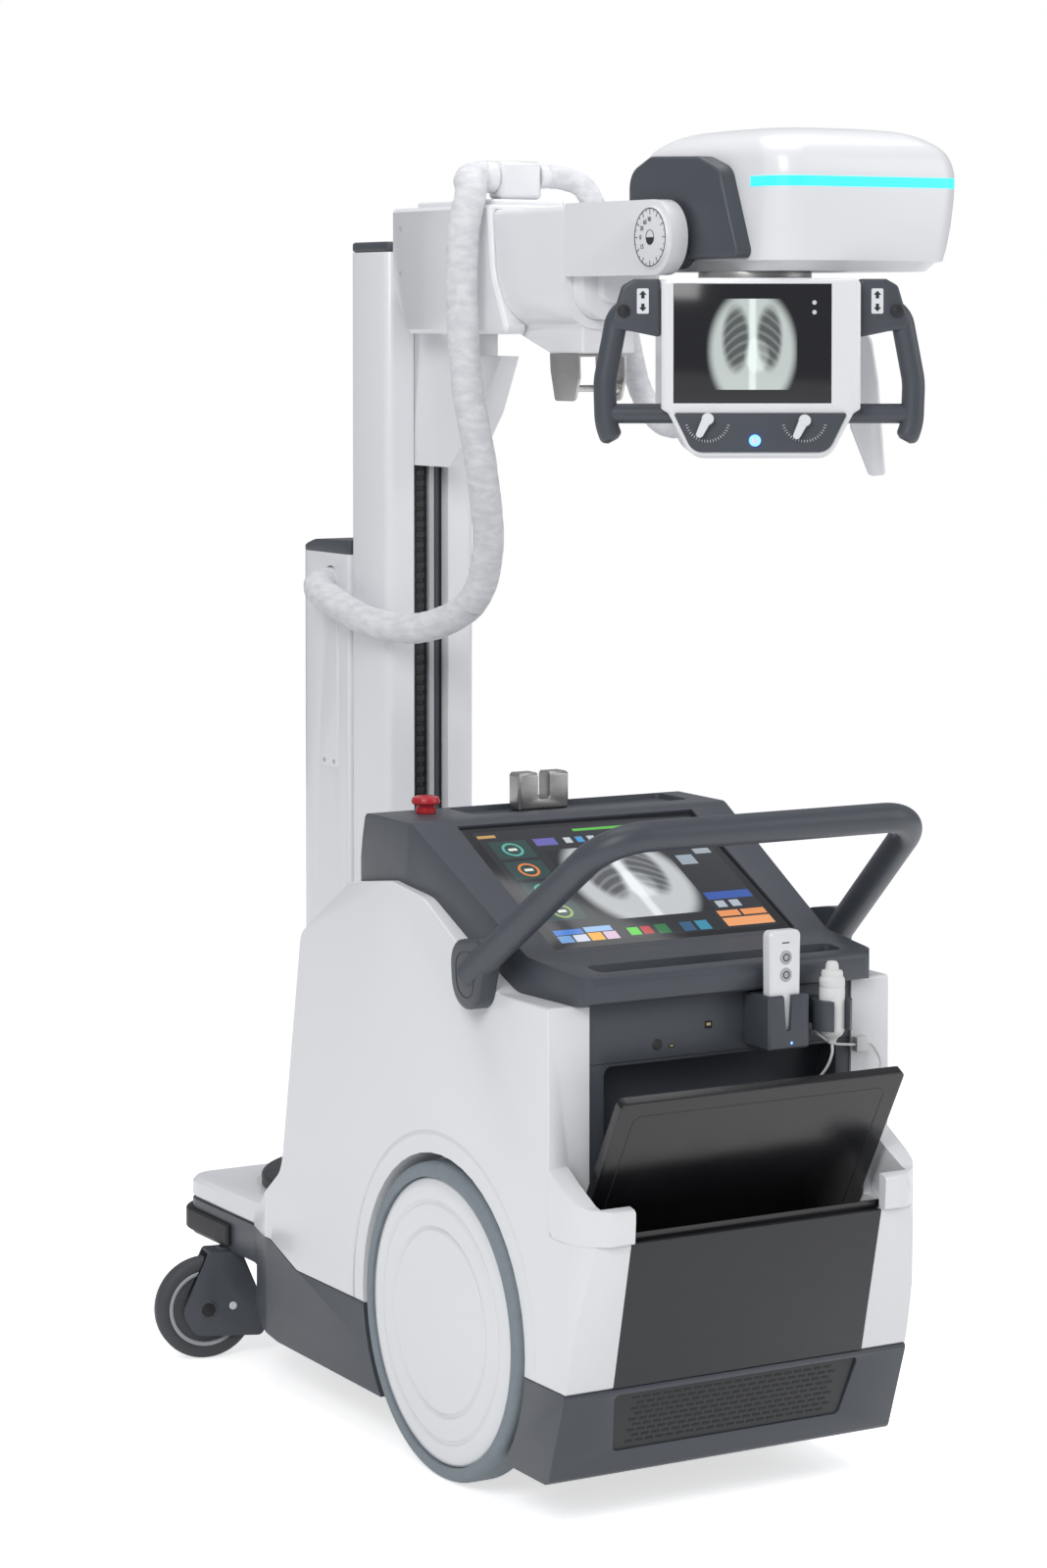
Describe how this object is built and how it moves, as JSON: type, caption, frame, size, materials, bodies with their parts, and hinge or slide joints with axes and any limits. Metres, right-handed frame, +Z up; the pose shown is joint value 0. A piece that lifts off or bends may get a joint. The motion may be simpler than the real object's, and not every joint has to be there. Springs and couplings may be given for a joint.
{
  "type": "mobile x-ray machine",
  "caption": "Battery-driven mobile x-ray machine: wheeled body with console and detector bin, a sliding mast on a turntable, and a telescopic arm with tube head and collimator.",
  "frame": {"origin": "on the floor, under the middle of the machine's box", "axes": "+Z up, +Y towards the column end, -Y towards the operator, +X to the right as seen by the operator"},
  "size_m": [0.7394, 1.4286, 1.906],
  "materials": {
    "black": "gloss",
    "cord": "satin",
    "cyan": "gloss",
    "dark": "matte",
    "fabric": "woven",
    "red": "gloss",
    "rubber": "matte",
    "slate": "satin",
    "steel": "brushed",
    "tyre": "matte",
    "white": "satin"
  },
  "bodies": {
    "arm_reach": {"arm_bar": "white", "arm_inner": "white", "hose_head": "fabric"},
    "root": {"arm_catch": "steel", "battery_pack": "dark", "bin_horn_left": "white", "bin_horn_right": "white", "bin_panel": "dark", "bin_tray": "black", "body_shell": "white", "chassis_skirt": "slate", "console_housing": "slate", "console_screen": "black", "cord_clip": "white", "cord_hank": "cord", "cord_tail": "cord", "drive_axle": "steel", "equipment_panel": "dark", "hand_switch": "white", "hand_switch_cord": "cord", "nose_bumper": "black", "nose_deck": "white", "push_handle": "slate", "remote_control": "white", "remote_holder": "slate", "stop_button": "red", "switch_clip": "slate", "vent_grille": "dark"},
    "arm_slide": {"arm_outer": "white", "hose_loop": "fabric", "lock_bracket": "steel"},
    "carriage_lift": {"carriage_housing": "white", "hose_bracket": "white", "hose_top": "fabric", "hose_upper": "fabric"},
    "caster_left": {"caster_fork_left": "slate"},
    "caster_right": {"caster_fork_right": "slate"},
    "caster_wheel_left": {"caster_wheel_left": "rubber"},
    "caster_wheel_right": {"caster_wheel_right": "rubber"},
    "collimator_turn": {"collimator_grips": "slate", "collimator_housing": "white", "collimator_screen": "black", "control_panel": "slate", "spacer_plate": "white"},
    "column": {"column_ring": "slate", "hose_lower": "fabric", "rear_housing": "white", "rear_housing_cap": "slate"},
    "detector_lift": {"detector": "black"},
    "head_tilt": {"head_housing": "white", "head_pod": "slate", "light_strip": "cyan", "swivel_plate": "steel"},
    "mast_slide": {"mast": "white", "mast_cap": "slate", "rack_insert": "dark"},
    "wheel_left": {"tyre_left": "tyre", "wheel_disc_left": "white"},
    "wheel_right": {"tyre_right": "tyre", "wheel_disc_right": "white"}
  },
  "joints": [
    {"name": "wheel_left_spin", "type": "hinge", "parent": "root", "child": "wheel_left", "pos_m": [-0.285, -0.2057, 0.225], "axis": [1, 0, 0], "continuous": true},
    {"name": "caster_left_swivel", "type": "hinge", "parent": "root", "child": "caster_left", "pos_m": [-0.25, 0.5463, 0.175], "axis": [0, 0, 1], "continuous": true},
    {"name": "caster_left_spin", "type": "hinge", "parent": "caster_left", "child": "caster_wheel_left", "pos_m": [-0.28913, 0.55462, 0.0805], "axis": [0.2079, 0.9781, 0], "continuous": true},
    {"name": "wheel_right_spin", "type": "hinge", "parent": "root", "child": "wheel_right", "pos_m": [0.285, -0.2057, 0.225], "axis": [1, 0, 0], "continuous": true},
    {"name": "caster_right_swivel", "type": "hinge", "parent": "root", "child": "caster_right", "pos_m": [0.25, 0.5463, 0.175], "axis": [0, 0, 1], "continuous": true},
    {"name": "caster_right_spin", "type": "hinge", "parent": "caster_right", "child": "caster_wheel_right", "pos_m": [0.28913, 0.55462, 0.0805], "axis": [0.2079, -0.9781, 0], "continuous": true},
    {"name": "detector_lift", "type": "slide", "parent": "root", "child": "detector_lift", "axis": [0, -0.4935, 0.8698], "range_m": [0, 0.3]},
    {"name": "column_turn", "type": "hinge", "parent": "root", "child": "column", "pos_m": [0, 0.4843, 0.282], "axis": [0, 0, 1], "range_deg": [-270, 270]},
    {"name": "mast_slide", "type": "slide", "parent": "column", "child": "mast_slide", "axis": [0, 0, 1], "range_m": [-0.43, 0], "deforming": ["hose_lower"]},
    {"name": "carriage_lift", "type": "slide", "parent": "mast_slide", "child": "carriage_lift", "axis": [0, 0, 1], "range_m": [-0.43, 0], "deforming": ["hose_upper"]},
    {"name": "arm_slide", "type": "slide", "parent": "carriage_lift", "child": "arm_slide", "axis": [0, -1, 0], "range_m": [-0.15, 0.1], "deforming": ["hose_top", "hose_loop"]},
    {"name": "arm_reach", "type": "slide", "parent": "arm_slide", "child": "arm_reach", "axis": [0, -1, 0], "range_m": [0, 0.25]},
    {"name": "head_tilt", "type": "hinge", "parent": "arm_reach", "child": "head_tilt", "pos_m": [-0.054, -0.4457, 1.757], "axis": [-1, 0, 0], "range_deg": [-10, 90], "deforming": ["hose_head"]},
    {"name": "collimator_turn", "type": "hinge", "parent": "head_tilt", "child": "collimator_turn", "pos_m": [0.05, -0.5057, 1.71], "axis": [0, 0, 1], "range_deg": [-60, 120]}
  ]
}
